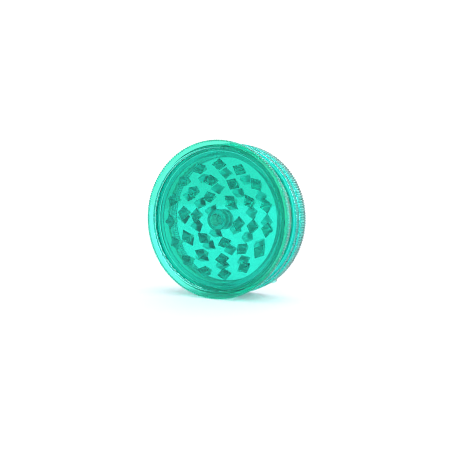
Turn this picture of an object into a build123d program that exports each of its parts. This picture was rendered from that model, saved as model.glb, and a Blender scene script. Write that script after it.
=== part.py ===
from build123d import *
import math
import os

# A pocket herb grinder in clear green plastic: a toothed lid that turns on a pin in a toothed base,
# and a press-in cap that closes a shallow store behind the base.
# Each piece is drawn with the grinder lying on its cap: radius from the axis, height above the
# cap's outer face. The finished grinder then stands on its knurled rims, with the lid facing -Y.

# Whole grinder (mm)
RIM_RADIUS = 30.0
TOTAL_HEIGHT = 20.0
TURNING_GAP = 0.06
SLIDING_GAP = 0.09
SEAM_GAP = 0.15

# Knurled grip rims
KNURL_RIDGES = 192
KNURL_DEPTH = 0.55
RIDGE_FLAT_SHARE = 0.3
RIM_CHAMFER = 0.35
KNURLED_RING_WIDTH = 1.5
RIM_CORE_RADIUS = 29.0

# Lid
LID_RIM_HEIGHT = 2.0
FACE_RECESS = 1.8
RECESS_RADIUS = 27.0
RECESS_EDGE_ROUNDING = 0.4
LID_DISC_THICKNESS = 1.9
SKIRT_OUTER_RADIUS = 28.0
SKIRT_INNER_RADIUS = 26.2
SKIRT_LENGTH = 9.1

# Base
CHAMBER_HEIGHT = 6.7
BASE_WALL_TOP_GAP = 0.4
BASE_WALL_THICKNESS = 1.8
FLOOR_THICKNESS = 1.8
SHOULDER_RADIUS = 29.0
SHOULDER_HEIGHT = 2.6
SHOULDER_FLARE = 0.35
STORE_RADIUS = 28.1

# Storage cap
CAP_RIM_HEIGHT = 3.1
CAP_DISC_THICKNESS = 1.8
CAP_LIP_THICKNESS = 1.5
CAP_LIP_LENGTH = 3.2
TAB_ANGLE = -55.0
TAB_REACH = 0.6
TAB_WIDTH = 2.2
TAB_THICKNESS = 1.5
TAB_ROOT = 1.5
TAB_CORNER_ROUNDING = 0.6

# Grinding teeth: rhombic pyramids, longer round the ring than across it
TOOTH_HALF_LENGTH = 3.2
TOOTH_HALF_WIDTH = 2.45
TOOTH_HEIGHT = 5.9
TOOTH_TIP_SHARE = 0.07
TOOTH_ROOT = 0.2
LID_TOOTH_START = -9.0
LID_TOOTH_RINGS = [(9.25, 6), (15.1, 10), (20.95, 15)]
BASE_TOOTH_START = 58.0
BASE_TOOTH_RINGS = [(6.35, 4), (12.2, 8), (18.0, 12)]

# Hub and pivot pin
HUB_RADIUS = 3.9
HUB_MEETING_GAP = 0.2
PIN_RADIUS = 2.1
PIN_HEAD_RADIUS = 2.35
PIN_HEAD_THICKNESS = 1.0
PIN_SOCKET_SKIN = 0.8
PIN_END_GAP = 0.2
PIN_END_CHAMFER = 0.3

# Heights that follow from the dimensions above
lid_rim_bottom = TOTAL_HEIGHT - LID_RIM_HEIGHT
disc_top = TOTAL_HEIGHT - FACE_RECESS
disc_bottom = disc_top - LID_DISC_THICKNESS
skirt_bottom = lid_rim_bottom - SKIRT_LENGTH
floor_top = disc_bottom - CHAMBER_HEIGHT
floor_bottom = floor_top - FLOOR_THICKNESS
shoulder_top = skirt_bottom - SEAM_GAP
grip_top = shoulder_top - SHOULDER_HEIGHT
grip_bottom = CAP_RIM_HEIGHT + SEAM_GAP
wall_top = disc_bottom - BASE_WALL_TOP_GAP
wall_outer = SKIRT_INNER_RADIUS - SLIDING_GAP
wall_inner = wall_outer - BASE_WALL_THICKNESS
lip_outer = STORE_RADIUS - SLIDING_GAP
lip_inner = lip_outer - CAP_LIP_THICKNESS
lip_top = CAP_RIM_HEIGHT + CAP_LIP_LENGTH
hub_meeting = (disc_bottom + floor_top) / 2
lid_socket_top = disc_top - PIN_SOCKET_SKIN
base_socket_bottom = floor_bottom + PIN_SOCKET_SKIN
bore_radius = PIN_RADIUS + TURNING_GAP
head_socket_radius = PIN_HEAD_RADIUS + TURNING_GAP
head_top = lid_socket_top - PIN_END_GAP
head_bottom = head_top - PIN_HEAD_THICKNESS


def turned(*corners):
    """Solid of revolution about the grinder's axis from its (radius, height) corners."""
    outline = Polyline(*corners, close=True)
    return revolve(Plane.XZ * make_face(outline), Axis.Z)


def tube(outer, inner, bottom, top):
    """Plain ring between two radii and two heights."""
    return turned((inner, bottom), (outer, bottom), (outer, top), (inner, top))


def rod(radius, bottom, top):
    """Plain cylinder on the grinder's axis."""
    return Pos(0, 0, bottom) * Cylinder(radius, top - bottom, align=(Align.CENTER, Align.CENTER, Align.MIN))


def circle_point(radius, degrees):
    """Point on a circle about the grinder's axis."""
    angle = math.radians(degrees)
    return (radius * math.cos(angle), radius * math.sin(angle))


def knurled_ring(bottom, top):
    """Grip ring with straight ridges, chamfered at both edges, a valley at its lowest point."""
    pitch = 360 / KNURL_RIDGES
    half_flat = pitch * RIDGE_FLAT_SHARE / 2
    corners = []
    for ridge in range(KNURL_RIDGES):
        valley = -90 + ridge * pitch
        crest = valley + pitch / 2
        corners.append(circle_point(RIM_RADIUS - KNURL_DEPTH, valley))
        corners.append(circle_point(RIM_RADIUS, crest - half_flat))
        corners.append(circle_point(RIM_RADIUS, crest + half_flat))
    ridges = extrude(Pos(0, 0, bottom) * make_face(Polyline(*corners, close=True)), top - bottom)
    inner = RIM_RADIUS - KNURLED_RING_WIDTH
    shy = RIM_RADIUS - RIM_CHAMFER
    chamfered_ring = turned(
        (inner, bottom),
        (shy, bottom),
        (RIM_RADIUS, bottom + RIM_CHAMFER),
        (RIM_RADIUS, top - RIM_CHAMFER),
        (shy, top),
        (inner, top),
    )
    return ridges & chamfered_ring


def tooth(root_height, pointing):
    """Rhombic pyramid on the X axis side, with its root sunk a little into the plate behind it."""
    root = Pos(0, 0, root_height - pointing * TOOTH_ROOT)
    tip = Pos(0, 0, root_height + pointing * TOOTH_HEIGHT)
    return loft([root * rhombus(1.0), tip * rhombus(TOOTH_TIP_SHARE)], ruled=True)


def rhombus(scale):
    """Tooth section: its short diagonal is radial, its long diagonal runs round the ring."""
    across = TOOTH_HALF_WIDTH * scale
    along = TOOTH_HALF_LENGTH * scale
    return make_face(Polyline((across, 0), (0, along), (-across, 0), (0, -along), close=True))


def toothed_rings(rings, start, root_height, pointing):
    """All teeth of one plate, every ring starting at the same angle."""
    one = tooth(root_height, pointing)
    teeth = []
    for radius, count in rings:
        for index in range(count):
            teeth.append(Rot(0, 0, start + 360 * index / count) * Pos(radius, 0, 0) * one)
    return teeth


def make_lid():
    """Dished disc with a knurled rim, a skirt, three rings of teeth and a hub for the pin's head."""
    body = turned(
        (0, disc_bottom),
        (SKIRT_INNER_RADIUS, disc_bottom),
        (SKIRT_INNER_RADIUS, skirt_bottom),
        (SKIRT_OUTER_RADIUS, skirt_bottom),
        (SKIRT_OUTER_RADIUS, lid_rim_bottom),
        (RIM_CORE_RADIUS, lid_rim_bottom),
        (RIM_CORE_RADIUS, TOTAL_HEIGHT),
        (RECESS_RADIUS, TOTAL_HEIGHT),
        (RECESS_RADIUS, disc_top),
        (0, disc_top),
    )
    lid = body + knurled_ring(lid_rim_bottom, TOTAL_HEIGHT)
    lid += rod(HUB_RADIUS, hub_meeting + HUB_MEETING_GAP / 2, disc_bottom + TOOTH_ROOT)
    lid += toothed_rings(LID_TOOTH_RINGS, LID_TOOTH_START, disc_bottom, -1)
    lid -= rod(bore_radius, hub_meeting, head_bottom)
    lid -= rod(head_socket_radius, head_bottom - PIN_END_GAP, lid_socket_top)
    recess_edge = lid.edges().filter_by(GeomType.CIRCLE).filter_by(
        lambda edge: abs(edge.radius - RECESS_RADIUS) < 0.01
    )
    return fillet(recess_edge.sort_by(Axis.Z)[-1:], RECESS_EDGE_ROUNDING)


def make_pivot_pin():
    """Pin that snaps into the lid's hub and plugs into the base's hub."""
    end = base_socket_bottom + PIN_END_GAP
    return turned(
        (0, end),
        (PIN_RADIUS - PIN_END_CHAMFER, end),
        (PIN_RADIUS, end + PIN_END_CHAMFER),
        (PIN_RADIUS, head_bottom),
        (PIN_HEAD_RADIUS, head_bottom),
        (PIN_HEAD_RADIUS, head_top - PIN_END_CHAMFER),
        (PIN_HEAD_RADIUS - PIN_END_CHAMFER, head_top),
        (0, head_top),
    )


def make_base():
    """Toothed cup that slips inside the lid's skirt, on a shouldered grip with the store behind it."""
    body = turned(
        (0, floor_bottom),
        (STORE_RADIUS, floor_bottom),
        (STORE_RADIUS, grip_bottom),
        (SHOULDER_RADIUS, grip_bottom),
        (SHOULDER_RADIUS + SHOULDER_FLARE, grip_top),
        (SHOULDER_RADIUS, shoulder_top),
        (wall_outer, shoulder_top),
        (wall_outer, wall_top),
        (wall_inner, wall_top),
        (wall_inner, floor_top),
        (0, floor_top),
    )
    base = body + knurled_ring(grip_bottom, grip_top)
    base += rod(HUB_RADIUS, floor_top - TOOTH_ROOT, hub_meeting - HUB_MEETING_GAP / 2)
    base += toothed_rings(BASE_TOOTH_RINGS, BASE_TOOTH_START, floor_top, 1)
    base -= rod(bore_radius, base_socket_bottom, hub_meeting)
    return base


def make_storage_cap():
    """Dished cap with a knurled rim, a press-in lip and a small nub on its outer edge."""
    body = turned(
        (0, 0),
        (RIM_CORE_RADIUS, 0),
        (RIM_CORE_RADIUS, CAP_RIM_HEIGHT),
        (lip_outer, CAP_RIM_HEIGHT),
        (lip_outer, lip_top),
        (lip_inner, lip_top),
        (lip_inner, CAP_DISC_THICKNESS),
        (0, CAP_DISC_THICKNESS),
    )
    cap = body + knurled_ring(0, CAP_RIM_HEIGHT)
    block = Box(TAB_REACH + TAB_ROOT, TAB_WIDTH, TAB_THICKNESS, align=(Align.MIN, Align.CENTER, Align.MIN))
    corners = block.edges().filter_by(Axis.Z).group_by(Axis.X)[-1]
    tab = fillet(corners, TAB_CORNER_ROUNDING)
    return cap + Rot(0, 0, TAB_ANGLE) * Pos(RIM_RADIUS - TAB_ROOT, 0, 0) * tab


def stand_on_rims(piece):
    """Turn a piece drawn lying on its cap so that the grinder stands on its rims, lid towards -Y."""
    standing = Plane(origin=(0, TOTAL_HEIGHT / 2, RIM_RADIUS), x_dir=(1, 0, 0), z_dir=(0, -1, 0))
    return standing.location * piece


pieces = {
    "lid": make_lid(),
    "pivot_pin": make_pivot_pin(),
    "base": make_base(),
    "storage_cap": make_storage_cap(),
}

os.makedirs("parts", exist_ok=True)
for name, piece in pieces.items():
    export_step(stand_on_rims(piece), f"parts/{name}.step")
    print(name, round(piece.volume, 1), "mm3")
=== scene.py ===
import math

import bmesh
import bpy
from mathutils import Matrix, Vector


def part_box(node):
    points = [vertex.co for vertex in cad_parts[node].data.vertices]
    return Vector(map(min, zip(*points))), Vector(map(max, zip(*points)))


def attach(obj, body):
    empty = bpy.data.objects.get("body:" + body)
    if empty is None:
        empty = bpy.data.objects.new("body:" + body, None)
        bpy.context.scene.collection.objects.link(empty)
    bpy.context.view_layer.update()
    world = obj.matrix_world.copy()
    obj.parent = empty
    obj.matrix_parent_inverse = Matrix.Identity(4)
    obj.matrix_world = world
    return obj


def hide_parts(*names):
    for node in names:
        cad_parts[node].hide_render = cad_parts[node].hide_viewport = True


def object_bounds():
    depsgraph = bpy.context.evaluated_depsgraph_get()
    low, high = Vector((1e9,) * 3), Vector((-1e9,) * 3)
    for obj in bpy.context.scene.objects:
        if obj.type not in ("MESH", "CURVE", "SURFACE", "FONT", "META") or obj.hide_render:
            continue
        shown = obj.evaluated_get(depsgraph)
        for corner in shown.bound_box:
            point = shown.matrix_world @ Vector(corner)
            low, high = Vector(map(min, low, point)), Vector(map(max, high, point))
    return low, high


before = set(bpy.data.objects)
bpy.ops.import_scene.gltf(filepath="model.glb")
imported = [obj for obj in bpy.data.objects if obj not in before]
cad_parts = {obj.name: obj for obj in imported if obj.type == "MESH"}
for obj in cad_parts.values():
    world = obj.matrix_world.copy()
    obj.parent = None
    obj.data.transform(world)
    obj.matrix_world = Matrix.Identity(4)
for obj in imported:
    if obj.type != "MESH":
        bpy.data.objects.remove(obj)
cad_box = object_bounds()
MM = 0.001

# The grinder's axis lies along +Y. Sizes are in millimetres down to the camera, and in metres after it.
# A place on a piece is its radius from the axis and its height above the cap's outer face, as the
# grinder lies when it rests on its cap.
lid_low, lid_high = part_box("lid")
cap_low, cap_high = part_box("storage_cap")
base_low, base_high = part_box("base")
pin_low, pin_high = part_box("pivot_pin")
AXIS_X = (lid_low.x + lid_high.x) / 2 / MM
AXIS_Z = (lid_low.z + lid_high.z) / 2 / MM
BACK_Y = cap_high.y / MM
TOTAL_HEIGHT = (cap_high.y - lid_low.y) / MM
RIM_RADIUS = 30.0

# Knurling, and how finely the turned bodies are divided
KNURL_RIDGES = 192
KNURL_DEPTH = 0.55
RIDGE_FLAT_SHARE = 0.3
STEPS_PER_RIDGE = 5
STEPS = KNURL_RIDGES * STEPS_PER_RIDGE
LOWEST = -90
ARC_STEPS = 3
HOLDING_GAP = 0.06
SMOOTH_ANGLE = math.radians(32)

# Fits between the pieces
SLIDING_GAP = 0.09
SEAM_GAP = 0.15
PIN_END_GAP = 0.2

# Lid
LID_RIM_HEIGHT = 2.0
FACE_RECESS = 1.8
DISC_THICKNESS = 1.9
RECESS_RADIUS = 27.0
SKIRT_OUTER = 28.0
SKIRT_INNER = 26.2
LID_RIM_BOTTOM = TOTAL_HEIGHT - LID_RIM_HEIGHT
DISC_TOP = TOTAL_HEIGHT - FACE_RECESS
DISC_BOTTOM = DISC_TOP - DISC_THICKNESS
SKIRT_BOTTOM = BACK_Y - lid_high.y / MM

# Base
CHAMBER_HEIGHT = 6.7
FLOOR_THICKNESS = 1.8
WALL_THICKNESS = 1.8
SHOULDER_RADIUS = 29.0
SHOULDER_HEIGHT = 2.6
SHOULDER_FLARE = 0.35
STORE_RADIUS = 28.1
FLOOR_TOP = DISC_BOTTOM - CHAMBER_HEIGHT
FLOOR_BOTTOM = FLOOR_TOP - FLOOR_THICKNESS
SHOULDER_TOP = SKIRT_BOTTOM - SEAM_GAP
GRIP_TOP = SHOULDER_TOP - SHOULDER_HEIGHT
GRIP_BOTTOM = BACK_Y - base_high.y / MM
WALL_TOP = BACK_Y - base_low.y / MM
WALL_OUTER = SKIRT_INNER - SLIDING_GAP
WALL_INNER = WALL_OUTER - WALL_THICKNESS

# Storage cap and its thumb tab
CAP_RIM_TOP = 3.1
CAP_DISC_TOP = 1.8
LIP_THICKNESS = 1.5
LIP_TOP = BACK_Y - cap_low.y / MM
LIP_OUTER = STORE_RADIUS - SLIDING_GAP
LIP_INNER = LIP_OUTER - LIP_THICKNESS
TAB_ANGLE = -55.0
TAB_REACH = 0.6
TAB_WIDTH = 2.2
TAB_THICKNESS = 1.5
TAB_FOOT = 1.0
TAB_LOW_EDGE = 0.15
TAB_HIGH_EDGE = 0.12
TAB_SQUARENESS = 4
ROW_ABOVE_TAB_TOP = 0.15
ROW_BELOW_TAB_TOP = 0.1

# Hubs and pivot pin
HUB_RADIUS = 3.9
HUB_MIDDLE = (DISC_BOTTOM + FLOOR_TOP) / 2
HUB_HALF_GAP = 0.1
BORE_RADIUS = 2.16
HEAD_SOCKET_RADIUS = 2.41
PIN_RADIUS = 2.1
PIN_HEAD_RADIUS = 2.35
PIN_HEAD_THICKNESS = 1.0
PIN_BOTTOM = BACK_Y - pin_high.y / MM
PIN_TOP = BACK_Y - pin_low.y / MM
PIN_HEAD_BOTTOM = PIN_TOP - PIN_HEAD_THICKNESS
HEAD_SEAT_GAP = 0.1
HEAD_SOCKET_BOTTOM = PIN_HEAD_BOTTOM - HEAD_SEAT_GAP
LID_SOCKET_TOP = PIN_TOP + PIN_END_GAP
BASE_SOCKET_BOTTOM = PIN_BOTTOM - PIN_END_GAP

# Teeth: rings of (radius, count)
TOOTH_HALF_LENGTH = 3.2
TOOTH_HALF_WIDTH = 2.45
TOOTH_HEIGHT = 5.9
TOOTH_CORNER_CUT = 0.035
TOOTH_ROOT = 0.2
TOOTH_TIP_SHARE = 0.07
LID_TOOTH_START = -9.0
LID_TOOTH_RINGS = [(9.25, 6), (15.1, 10), (20.95, 15)]
BASE_TOOTH_START = 58.0
BASE_TOOTH_RINGS = [(6.35, 4), (12.2, 8), (18.0, 12)]

# Roundings of the moulded edges and inner corners
RECESS_EDGE = 0.4
RIM_EDGE = 0.35
GRIP_EDGE = 0.3
PLATE_CORNER = 0.3
WALL_EDGE = 0.25
HUB_EDGE = 0.25
HUB_CORNER = 0.2
SEAM_CORNER = 0.2
BORE_CORNER = 0.2
BORE_EDGE = 0.15
FLARE_EDGE = 0.12
SOCKET_CORNER = 0.1
SOCKET_STEP = 0.06
PIN_EDGE = 0.3
PIN_HEAD_EDGE = 0.1
PIN_CORNER = 0.05
ROW_ABOVE_ROUNDING = 0.1
ROW_BELOW_ROUNDING = 0.02


def rounded_profile(corners):
    """Corners (radius, height, rounding) as a finer outline with arcs and close holding points."""
    points = []
    for index, (radius, height, rounding) in enumerate(corners):
        here = Vector((radius, height))
        if rounding == 0:
            points.append(here)
            continue
        before = (Vector(corners[index - 1][:2]) - here).normalized()
        after = (Vector(corners[index + 1][:2]) - here).normalized()
        half = before.angle(after) / 2
        reach = rounding / math.tan(half)
        centre = here + (before + after).normalized() * (rounding / math.sin(half))
        start = here + before * reach
        end = here + after * reach
        points.append(start + before * HOLDING_GAP)
        points.append(start)
        for step in range(1, ARC_STEPS):
            share = step / ARC_STEPS
            on_chord = start.lerp(end, share) - centre
            points.append(centre + on_chord.normalized() * rounding)
        points.append(end)
        points.append(end + after * HOLDING_GAP)
    return points


def ridge_radius(angle):
    """Radius of the knurled outline at an angle in degrees, with a valley at the lowest point."""
    share = ((angle - LOWEST) * KNURL_RIDGES / 360) % 1.0
    from_crest = abs(share - 0.5)
    flank = (from_crest - RIDGE_FLAT_SHARE / 2) / (0.5 - RIDGE_FLAT_SHARE / 2)
    return RIM_RADIUS - KNURL_DEPTH * max(0.0, flank)


def place(across, up, height):
    """A point in metres from its offsets from the axis and its height, all in millimetres."""
    return ((AXIS_X + across) * MM, (BACK_Y - height) * MM, (AXIS_Z + up) * MM)


def turned_body(name, corners, radius_at):
    """Closed surface of revolution through rounded corners, starting and ending on the axis."""
    outline = rounded_profile(corners)
    points = [place(0, 0, outline[0].y)]
    faces = []
    for row, corner in enumerate(outline[1:-1]):
        first = 1 + row * STEPS
        for step in range(STEPS):
            angle = LOWEST + 360 * step / STEPS
            turn = math.radians(angle)
            reach = radius_at(corner.x, corner.y, angle)
            points.append(place(reach * math.cos(turn), reach * math.sin(turn), corner.y))
        for step in range(STEPS):
            here = first + step
            after = first + (step + 1) % STEPS
            if row == 0:
                faces.append((0, here, after))
            else:
                faces.append((here - STEPS, here, after, after - STEPS))
    points.append(place(0, 0, outline[-1].y))
    last = len(points) - 1
    for step in range(STEPS):
        faces.append((last - STEPS + step, last, last - STEPS + (step + 1) % STEPS))
    mesh = bpy.data.meshes.new(name)
    mesh.from_pydata(points, [], faces)
    return mesh


def tooth_section(radius, angle, height, scale):
    """One rhombic section of a tooth, with its four corners cut, at a ring radius and angle."""
    turn = math.radians(angle)
    radial = Vector((math.cos(turn), math.sin(turn)))
    along = Vector((-radial.y, radial.x))
    corners = [
        radial * TOOTH_HALF_WIDTH,
        along * TOOTH_HALF_LENGTH,
        -radial * TOOTH_HALF_WIDTH,
        -along * TOOTH_HALF_LENGTH,
    ]
    section = []
    for index, corner in enumerate(corners):
        for neighbour in (corners[index - 1], corners[(index + 1) % 4]):
            offset = radial * radius + corner.lerp(neighbour, TOOTH_CORNER_CUT) * scale
            section.append(Vector(place(offset.x, offset.y, height)))
    return section


def add_tooth(work, radius, angle, root, pointing):
    """One closed blunt pyramid, sunk a little into its plate, pointing up (1) or down (-1)."""
    loops = []
    for rise, scale in ((-TOOTH_ROOT, 1.0), (TOOTH_HEIGHT, TOOTH_TIP_SHARE)):
        section = tooth_section(radius, angle, root + pointing * rise, scale)
        loops.append([work.verts.new(point) for point in section])
        work.faces.new(loops[-1])
    lower, upper = loops
    for index in range(len(lower)):
        after = (index + 1) % len(lower)
        work.faces.new((lower[index], lower[after], upper[after], upper[index]))


def teeth(name, rings, start, root, pointing):
    """All teeth of one plate, as one mesh of separate closed pyramids."""
    work = bmesh.new()
    for radius, count in rings:
        for index in range(count):
            add_tooth(work, radius, start + 360 * index / count, root, pointing)
    bmesh.ops.recalc_face_normals(work, faces=work.faces)
    mesh = bpy.data.meshes.new(name)
    work.to_mesh(mesh)
    work.free()
    return mesh


def face_outwards(mesh):
    """Make every face point out of the closed surface."""
    work = bmesh.new()
    work.from_mesh(mesh)
    bmesh.ops.recalc_face_normals(work, faces=work.faces)
    if work.calc_volume(signed=True) < 0:
        bmesh.ops.reverse_faces(work, faces=work.faces)
    work.to_mesh(mesh)
    work.free()


def united(body_mesh, tooth_mesh):
    """The body with the teeth fused to it, as one closed mesh."""
    body = bpy.data.objects.new(body_mesh.name, body_mesh)
    tool = bpy.data.objects.new(tooth_mesh.name, tooth_mesh)
    for one in (body, tool):
        bpy.context.scene.collection.objects.link(one)
    fuse = body.modifiers.new("fuse", "BOOLEAN")
    fuse.operation = "UNION"
    fuse.solver = "MANIFOLD"
    fuse.object = tool
    bpy.context.view_layer.update()
    fused = bpy.data.meshes.new_from_object(body.evaluated_get(bpy.context.evaluated_depsgraph_get()))
    bpy.data.objects.remove(body)
    bpy.data.objects.remove(tool)
    return fused


def piece(name, mesh, node, material):
    """The finished piece, smooth between its creases, riding on its body in place of its CAD node."""
    made = bpy.data.objects.new(name, mesh)
    bpy.context.scene.collection.objects.link(made)
    mesh.shade_smooth()
    mesh.set_sharp_from_angle(angle=SMOOTH_ANGLE)
    mesh.materials.clear()
    mesh.materials.append(material)
    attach(made, node)
    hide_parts(node)
    return made


def knurled(radius, height, angle):
    """Turned radius cut down to the ridges of the grip."""
    return min(radius, ridge_radius(angle))


def knurled_with_tab(radius, height, angle):
    """Turned radius with ridges, and the thumb tab standing out of the cap's outer edge."""
    plain = knurled(radius, height, angle)
    off_centre = math.radians((angle - TAB_ANGLE + 180) % 360 - 180) * RIM_RADIUS
    if radius < RIM_RADIUS - TAB_FOOT or height > TAB_THICKNESS or abs(off_centre) > TAB_WIDTH / 2:
        return plain
    bulge = math.sqrt(1 - (off_centre / (TAB_WIDTH / 2)) ** TAB_SQUARENESS)
    above_low = (height + TAB_LOW_EDGE) / (2 * TAB_LOW_EDGE)
    below_high = (TAB_THICKNESS - height + TAB_HIGH_EDGE) / (2 * TAB_HIGH_EDGE)
    return max(plain, radius + TAB_REACH * bulge * min(1.0, above_low, below_high))


def make_lid(material):
    """Dished disc with a knurled rim, a skirt, three rings of teeth and a socket for the pin's head."""
    hub_end = HUB_MIDDLE + HUB_HALF_GAP
    body = turned_body(
        "lid_body",
        [
            (0, LID_SOCKET_TOP, 0),
            (HEAD_SOCKET_RADIUS, LID_SOCKET_TOP, SOCKET_CORNER),
            (HEAD_SOCKET_RADIUS, HEAD_SOCKET_BOTTOM, SOCKET_STEP),
            (BORE_RADIUS, HEAD_SOCKET_BOTTOM, SOCKET_STEP),
            (BORE_RADIUS, hub_end, BORE_EDGE),
            (HUB_RADIUS, hub_end, HUB_EDGE),
            (HUB_RADIUS, DISC_BOTTOM, HUB_CORNER),
            (SKIRT_INNER, DISC_BOTTOM, PLATE_CORNER),
            (SKIRT_INNER, SKIRT_BOTTOM, WALL_EDGE),
            (SKIRT_OUTER, SKIRT_BOTTOM, WALL_EDGE),
            (SKIRT_OUTER, LID_RIM_BOTTOM, PLATE_CORNER),
            (RIM_RADIUS, LID_RIM_BOTTOM, RIM_EDGE),
            (RIM_RADIUS, TOTAL_HEIGHT, RIM_EDGE),
            (RECESS_RADIUS, TOTAL_HEIGHT, RECESS_EDGE),
            (RECESS_RADIUS, DISC_TOP, PLATE_CORNER),
            (0, DISC_TOP, 0),
        ],
        knurled,
    )
    face_outwards(body)
    points = teeth("lid_teeth", LID_TOOTH_RINGS, LID_TOOTH_START, DISC_BOTTOM, -1)
    return piece("grinder_lid", united(body, points), "lid", material)


def make_base(material):
    """Toothed cup with a bored hub, on a shouldered grip with the store behind it."""
    hub_end = HUB_MIDDLE - HUB_HALF_GAP
    body = turned_body(
        "base_body",
        [
            (0, BASE_SOCKET_BOTTOM, 0),
            (BORE_RADIUS, BASE_SOCKET_BOTTOM, BORE_CORNER),
            (BORE_RADIUS, hub_end, BORE_EDGE),
            (HUB_RADIUS, hub_end, HUB_EDGE),
            (HUB_RADIUS, FLOOR_TOP, HUB_CORNER),
            (WALL_INNER, FLOOR_TOP, PLATE_CORNER),
            (WALL_INNER, WALL_TOP, WALL_EDGE),
            (WALL_OUTER, WALL_TOP, WALL_EDGE),
            (WALL_OUTER, SHOULDER_TOP, SEAM_CORNER),
            (SHOULDER_RADIUS, SHOULDER_TOP, WALL_EDGE),
            (SHOULDER_RADIUS + SHOULDER_FLARE, GRIP_TOP, FLARE_EDGE),
            (RIM_RADIUS, GRIP_TOP, GRIP_EDGE),
            (RIM_RADIUS, GRIP_BOTTOM, GRIP_EDGE),
            (STORE_RADIUS, GRIP_BOTTOM, WALL_EDGE),
            (STORE_RADIUS, FLOOR_BOTTOM, PLATE_CORNER),
            (0, FLOOR_BOTTOM, 0),
        ],
        knurled,
    )
    face_outwards(body)
    points = teeth("base_teeth", BASE_TOOTH_RINGS, BASE_TOOTH_START, FLOOR_TOP, 1)
    return piece("grinder_base", united(body, points), "base", material)


def make_cap(material):
    """Dished cap with a knurled rim, a press-in lip and a thumb tab."""
    body = turned_body(
        "cap_body",
        [
            (0, CAP_DISC_TOP, 0),
            (LIP_INNER, CAP_DISC_TOP, PLATE_CORNER),
            (LIP_INNER, LIP_TOP, WALL_EDGE),
            (LIP_OUTER, LIP_TOP, WALL_EDGE),
            (LIP_OUTER, CAP_RIM_TOP, SEAM_CORNER),
            (RIM_RADIUS, CAP_RIM_TOP, GRIP_EDGE),
            (RIM_RADIUS, TAB_THICKNESS + ROW_ABOVE_TAB_TOP, ROW_ABOVE_ROUNDING),
            (RIM_RADIUS, TAB_THICKNESS - ROW_BELOW_TAB_TOP, ROW_BELOW_ROUNDING),
            (RIM_RADIUS, 0, RIM_EDGE),
            (0, 0, 0),
        ],
        knurled_with_tab,
    )
    face_outwards(body)
    return piece("grinder_storage_cap", body, "storage_cap", material)


def make_pin(material):
    """Headed pin that the lid turns on."""
    body = turned_body(
        "pin_body",
        [
            (0, PIN_BOTTOM, 0),
            (PIN_RADIUS, PIN_BOTTOM, PIN_EDGE),
            (PIN_RADIUS, PIN_HEAD_BOTTOM, PIN_CORNER),
            (PIN_HEAD_RADIUS, PIN_HEAD_BOTTOM, PIN_HEAD_EDGE),
            (PIN_HEAD_RADIUS, PIN_TOP, PIN_EDGE),
            (0, PIN_TOP, 0),
        ],
        knurled,
    )
    face_outwards(body)
    return piece("grinder_pivot_pin", body, "pivot_pin", material)


# ---- Clear green plastic ----

# Tints colour the light at each surface it crosses, and the depth colour more so the thicker the plastic.
# Densities are per metre.
TINT_LIGHT = (0.75, 1.0, 0.90, 1)
TINT_DEEP = (0.65, 0.97, 0.85, 1)
WHITE = (1, 1, 1, 1)
# Painted shade: a darker grey-green laid on the base's ring of wall, where it nests inside the lid's skirt
PAINTED_WALL_SHADE = (0.64, 0.77, 0.75, 1)
RIM_TINT = (0.48, 1.0, 0.82, 1)
GREEN_SHEEN = (0.3, 1, 0.95, 1)
PALE_SHEEN = (0.8, 1, 0.97, 1)
DEPTH_COLOUR = (0.2, 0.925, 0.92, 1)
DEPTH_DENSITY = 680.0
PIN_DENSITY = 1500.0
REFRACTION = 1.49
TINT_BLEND = 0.4

DRIFT_PER_MM = 0.06
RIPPLES_PER_MM = 0.25
RIPPLE_DEPTH = 0.012
SCUFFS_PER_MM = 1.2
SCUFFS_START = 0.35
SCUFFS_FULL = 0.75
POLISHED = 0.02
SCUFFED = 0.07
MATT = 0.35
GRIP_WEAR = 0.28
GRIP_WEAR_BLEND = 0.15
MATT_START = 0.1
MATT_FULL = 0.5
WALL_MARGIN = 0.2

# How far apart the pieces read the same noise, so that no two have the same ripples and scuffs
NOISE_SPACING = 100.0

# Heights above the whole grinder, for a piece with no matt teeth
NOWHERE = (TOTAL_HEIGHT + 1, TOTAL_HEIGHT + 2)


def add_node(tree, kind, inputs, **settings):
    """A node with its settings, and its inputs either linked or set to a constant."""
    node = tree.nodes.new(kind)
    for name, value in settings.items():
        setattr(node, name, value)
    for name, value in inputs.items():
        if isinstance(value, bpy.types.NodeSocket):
            tree.links.new(value, node.inputs[name])
        else:
            node.inputs[name].default_value = value
    return node


def scaled(tree, value, low, high, to_low=0.0, to_high=1.0, **settings):
    """A value stretched from one range to another, and held inside it."""
    inputs = {"Value": value, "From Min": low, "From Max": high, "To Min": to_low, "To Max": to_high}
    return add_node(tree, "ShaderNodeMapRange", inputs, **settings).outputs["Result"]


def noise(tree, where, per_mm, detail=2.0):
    """Soft noise with about this many blotches in a millimetre."""
    inputs = {"Vector": where, "Scale": per_mm, "Detail": detail}
    return add_node(tree, "ShaderNodeTexNoise", inputs).outputs["Fac"]


def math_node(tree, operation, first, second):
    """The result of arithmetic on two values."""
    return add_node(tree, "ShaderNodeMath", {0: first, 1: second}, operation=operation).outputs[0]


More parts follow.
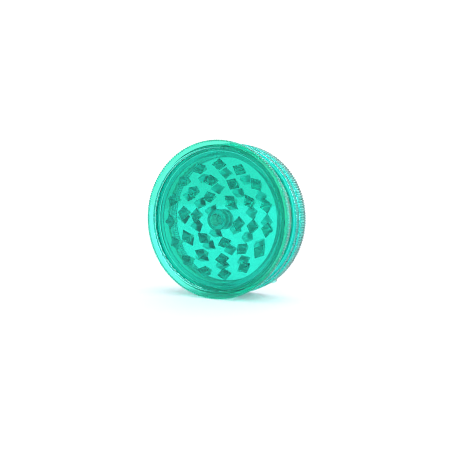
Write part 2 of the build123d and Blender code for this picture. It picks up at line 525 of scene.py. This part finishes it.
def tint_and_painted_shade(tree, where, radius, painted_wall_shade, rim_tint):
    """Tint that drifts a little from place to place and changes from the plates to the walls and rim; on the
    walls the change is painted shade, darker where the pieces nest.
    """
    drift = noise(tree, where, DRIFT_PER_MM)
    inputs = {"Factor": drift, "A": TINT_LIGHT, "B": TINT_DEEP}
    tint = add_node(tree, "ShaderNodeMix", inputs, data_type="RGBA").outputs["Result"]
    zones = add_node(tree, "ShaderNodeValToRGB", {"Fac": math_node(tree, "DIVIDE", radius, RIM_RADIUS)})
    ramp = zones.color_ramp.elements
    stops = [
        # From here to the recess edge the ramp paints shade on the ring of the walls
        (WALL_INNER - TINT_BLEND, WHITE),
        (WALL_INNER, painted_wall_shade),
        (RECESS_RADIUS, painted_wall_shade),
        (RECESS_RADIUS + TINT_BLEND, rim_tint),
    ]
    while len(ramp) < len(stops):
        ramp.new(1.0)
    for element, (edge, colour) in zip(ramp, stops):
        element.position = edge / RIM_RADIUS
        element.color = colour
    inputs = {"Factor": 1.0, "A": tint, "B": zones.outputs["Color"]}
    return add_node(tree, "ShaderNodeMix", inputs, data_type="RGBA", blend_type="MULTIPLY").outputs["Result"]


def plastic_roughness(tree, where, height, radius, matt_heights):
    """Polished plates with faint scuffs, a worn grip, and matt teeth between two heights."""
    scuffs = noise(tree, where, SCUFFS_PER_MM, detail=4.0)
    polish = scaled(tree, scuffs, SCUFFS_START, SCUFFS_FULL, POLISHED, SCUFFED)
    valley = RIM_RADIUS - KNURL_DEPTH
    grip = scaled(tree, radius, valley - GRIP_WEAR_BLEND, valley, 0.0, GRIP_WEAR)
    worn = math_node(tree, "ADD", polish, grip)
    on_teeth = scaled(tree, height, *matt_heights)
    in_chamber = math_node(tree, "LESS_THAN", radius, WALL_INNER - WALL_MARGIN)
    inputs = {"Factor": math_node(tree, "MULTIPLY", on_teeth, in_chamber), "A": worn, "B": MATT}
    return add_node(tree, "ShaderNodeMix", inputs).outputs["Result"]


def moulded_plastic(name, seed, density, sheen, painted_wall_shade, rim_tint, matt_heights=NOWHERE):
    """Clear green moulded plastic, laid out in millimetres about the grinder's axis."""
    material = bpy.data.materials.new(name)
    material.use_nodes = True
    tree = material.node_tree
    surface = tree.nodes["Principled BSDF"]
    surface.inputs["Transmission Weight"].default_value = 1
    surface.inputs["IOR"].default_value = REFRACTION
    surface.inputs["Specular Tint"].default_value = sheen

    in_metres = add_node(tree, "ShaderNodeTexCoord", {}).outputs["Object"]
    inputs = {"Vector": in_metres, "Location": (-AXIS_X, -BACK_Y, -AXIS_Z), "Scale": (1 / MM, 1 / MM, 1 / MM)}
    from_axis = add_node(tree, "ShaderNodeMapping", inputs).outputs[0]
    inputs = {0: from_axis, 1: (0, NOISE_SPACING * seed, 0)}
    where = add_node(tree, "ShaderNodeVectorMath", inputs, operation="ADD").outputs[0]
    inputs = {0: from_axis, 1: (1, 0, 1)}
    across = add_node(tree, "ShaderNodeVectorMath", inputs, operation="MULTIPLY").outputs[0]
    radius = add_node(tree, "ShaderNodeVectorMath", {0: across}, operation="LENGTH").outputs["Value"]
    along = add_node(tree, "ShaderNodeSeparateXYZ", {0: from_axis}).outputs["Y"]
    height = math_node(tree, "MULTIPLY", along, -1.0)

    ripples = noise(tree, where, RIPPLES_PER_MM)
    bump = add_node(tree, "ShaderNodeBump", {"Height": ripples, "Distance": RIPPLE_DEPTH * MM})
    tree.links.new(bump.outputs["Normal"], surface.inputs["Normal"])
    tree.links.new(tint_and_painted_shade(tree, where, radius, painted_wall_shade, rim_tint), surface.inputs["Base Color"])
    roughness = plastic_roughness(tree, where, height, radius, matt_heights)
    tree.links.new(roughness, surface.inputs["Roughness"])
    depth = add_node(tree, "ShaderNodeVolumeAbsorption", {"Color": DEPTH_COLOUR, "Density": density})
    tree.links.new(depth.outputs[0], tree.nodes["Material Output"].inputs["Volume"])
    return material


# ---- Camera, floor and light, in metres ----

CAMERA_RIGHT = 0.0916
CAMERA_IN_FRONT = 0.168723
CAMERA_HEIGHT = 0.0375616
CAMERA_YAW = math.radians(-27.01)
CAMERA_PITCH = math.radians(2.929)
CAMERA_LENS = 40.755
CAMERA_NEAR = 0.01
CAMERA_FAR = 20

FLOOR_REACH = 3.0
PAPER_COLOUR = (0.84, 0.91, 0.97, 1)
PAPER_GLOW_COLOUR = (0.95, 0.85, 1, 1)
PAPER_GLOW = 0.1
PAPER_ROUGHNESS = 0.7
PAPER_GRAIN_PER_M = 900.0
PAPER_GRAIN_DEPTH = 0.00003

ROOM_LIGHT = 1.02
BACKDROP_LIGHT = {"centre": (-0.4, 0.9, 0.15), "start": 0.0, "full": 0.7, "strength": 0.1}
SIDE_LIGHT = {"centre": (0.75, 0.25, 0.6), "start": 0.1, "full": 0.9, "strength": 0.6}

# Highlights: a light's radiance is as seen by the piece it faces, and "along" is its long side
RIGHT_BOX = {
    "position": (0.55, 0.06, 0.2),
    "along": (0, 0, 1),
    "size": (0.4, 0.12),
    "radiance": 80,
}
TOP_STRIP = {
    "position": (0.215, -0.175, 0.445),
    "along": (0.79, -0.24, -0.56),
    "size": (1.0, 0.4),
    "radiance": 20,
}

LIGHT_BOUNCES = 32
PIXEL_FILTER = 1.0


def make_camera():
    """Camera at the lid's right, a little above the axis, looking slightly down."""
    camera = bpy.data.objects.new("camera", bpy.data.cameras.new("camera"))
    bpy.context.scene.collection.objects.link(camera)
    camera.location = (CAMERA_RIGHT, lid_low.y - CAMERA_IN_FRONT, CAMERA_HEIGHT)
    level = math.cos(CAMERA_PITCH)
    forward = Vector((math.sin(CAMERA_YAW) * level, math.cos(CAMERA_YAW) * level, -math.sin(CAMERA_PITCH)))
    camera.rotation_mode = "QUATERNION"
    camera.rotation_quaternion = forward.to_track_quat("-Z", "Y")
    camera.data.lens = CAMERA_LENS
    camera.data.clip_start = CAMERA_NEAR
    camera.data.clip_end = CAMERA_FAR
    bpy.context.scene.camera = camera


def make_floor():
    """Wide white paper floor, lit a little from within as an overexposed sweep looks."""
    mesh = bpy.data.meshes.new("floor")
    corners = [(-1, -1), (1, -1), (1, 1), (-1, 1)]
    mesh.from_pydata([(x * FLOOR_REACH, y * FLOOR_REACH, 0) for x, y in corners], [], [(0, 1, 2, 3)])
    floor = bpy.data.objects.new("floor", mesh)
    bpy.context.scene.collection.objects.link(floor)
    paper = bpy.data.materials.new("white_paper")
    paper.use_nodes = True
    tree = paper.node_tree
    surface = tree.nodes["Principled BSDF"]
    surface.inputs["Base Color"].default_value = PAPER_COLOUR
    surface.inputs["Roughness"].default_value = PAPER_ROUGHNESS
    surface.inputs["Emission Color"].default_value = PAPER_GLOW_COLOUR
    surface.inputs["Emission Strength"].default_value = PAPER_GLOW
    where = add_node(tree, "ShaderNodeTexCoord", {}).outputs["Object"]
    grain = noise(tree, where, PAPER_GRAIN_PER_M)
    bump = add_node(tree, "ShaderNodeBump", {"Height": grain, "Distance": PAPER_GRAIN_DEPTH})
    tree.links.new(bump.outputs["Normal"], surface.inputs["Normal"])
    mesh.materials.append(paper)


def lobe(tree, centre, start, full, strength):
    """A soft bright patch of sky around a direction, as a node output."""
    where = add_node(tree, "ShaderNodeTexCoord", {}).outputs["Generated"]
    inputs = {0: where, 1: Vector(centre).normalized()}
    towards = add_node(tree, "ShaderNodeVectorMath", inputs, operation="DOT_PRODUCT").outputs["Value"]
    return scaled(tree, towards, start, full, 0.0, strength, interpolation_type="SMOOTHSTEP")


def make_sky():
    """White room, a little brighter behind the grinder and at its upper right."""
    world = bpy.data.worlds.new("studio")
    bpy.context.scene.world = world
    world.use_nodes = True
    tree = world.node_tree
    backdrop = lobe(tree, **BACKDROP_LIGHT)
    side = lobe(tree, **SIDE_LIGHT)
    strength = math_node(tree, "ADD", math_node(tree, "ADD", backdrop, side), ROOM_LIGHT)
    sky = tree.nodes["Background"]
    sky.inputs["Color"].default_value = WHITE
    tree.links.new(strength, sky.inputs["Strength"])


def make_softbox(name, lit, position, along, size, radiance):
    """A rectangular light that faces the grinder and gives the listed pieces their highlights."""
    light = bpy.data.lights.new(name, "AREA")
    light.shape = "RECTANGLE"
    light.size, light.size_y = size
    light.energy = radiance * math.pi * light.size * light.size_y
    box = bpy.data.objects.new(name, light)
    bpy.context.scene.collection.objects.link(box)
    middle = (cad_box[0] + cad_box[1]) / 2
    away = (Vector(position) - middle).normalized()
    across = away.cross(Vector(along)).normalized()
    box.location = position
    box.rotation_mode = "QUATERNION"
    box.rotation_quaternion = Matrix((across.cross(away), across, away)).transposed().to_quaternion()
    box.visible_camera = False
    box.visible_transmission = False
    receivers = bpy.data.collections.new(name + "_receivers")
    for one in lit:
        receivers.objects.link(one)
    box.light_linking.receiver_collection = receivers


def make_pieces():
    """All four pieces, each with a plastic of its own."""
    green = (DEPTH_DENSITY, GREEN_SHEEN)
    lid_matt = (DISC_BOTTOM - MATT_START, DISC_BOTTOM - MATT_FULL)
    base_matt = (FLOOR_TOP + MATT_START, FLOOR_TOP + MATT_FULL)
    return [
        make_lid(moulded_plastic("lid_plastic", 1, *green, WHITE, RIM_TINT, lid_matt)),
        # The base carries the painted shade on its ring of wall
        make_base(moulded_plastic("base_plastic", 2, *green, PAINTED_WALL_SHADE, WHITE, base_matt)),
        make_cap(moulded_plastic("cap_plastic", 3, DEPTH_DENSITY, PALE_SHEEN, WHITE, WHITE)),
        make_pin(moulded_plastic("pin_plastic", 4, PIN_DENSITY, GREEN_SHEEN, WHITE, WHITE)),
    ]


pieces = make_pieces()
make_camera()
make_floor()
make_sky()
make_softbox("right_softbox", pieces, **RIGHT_BOX)
make_softbox("top_strip", pieces, **TOP_STRIP)

scene = bpy.context.scene
scene.view_settings.view_transform = "Standard"
scene.cycles.max_bounces = LIGHT_BOUNCES
scene.cycles.transmission_bounces = LIGHT_BOUNCES
scene.cycles.filter_width = PIXEL_FILTER
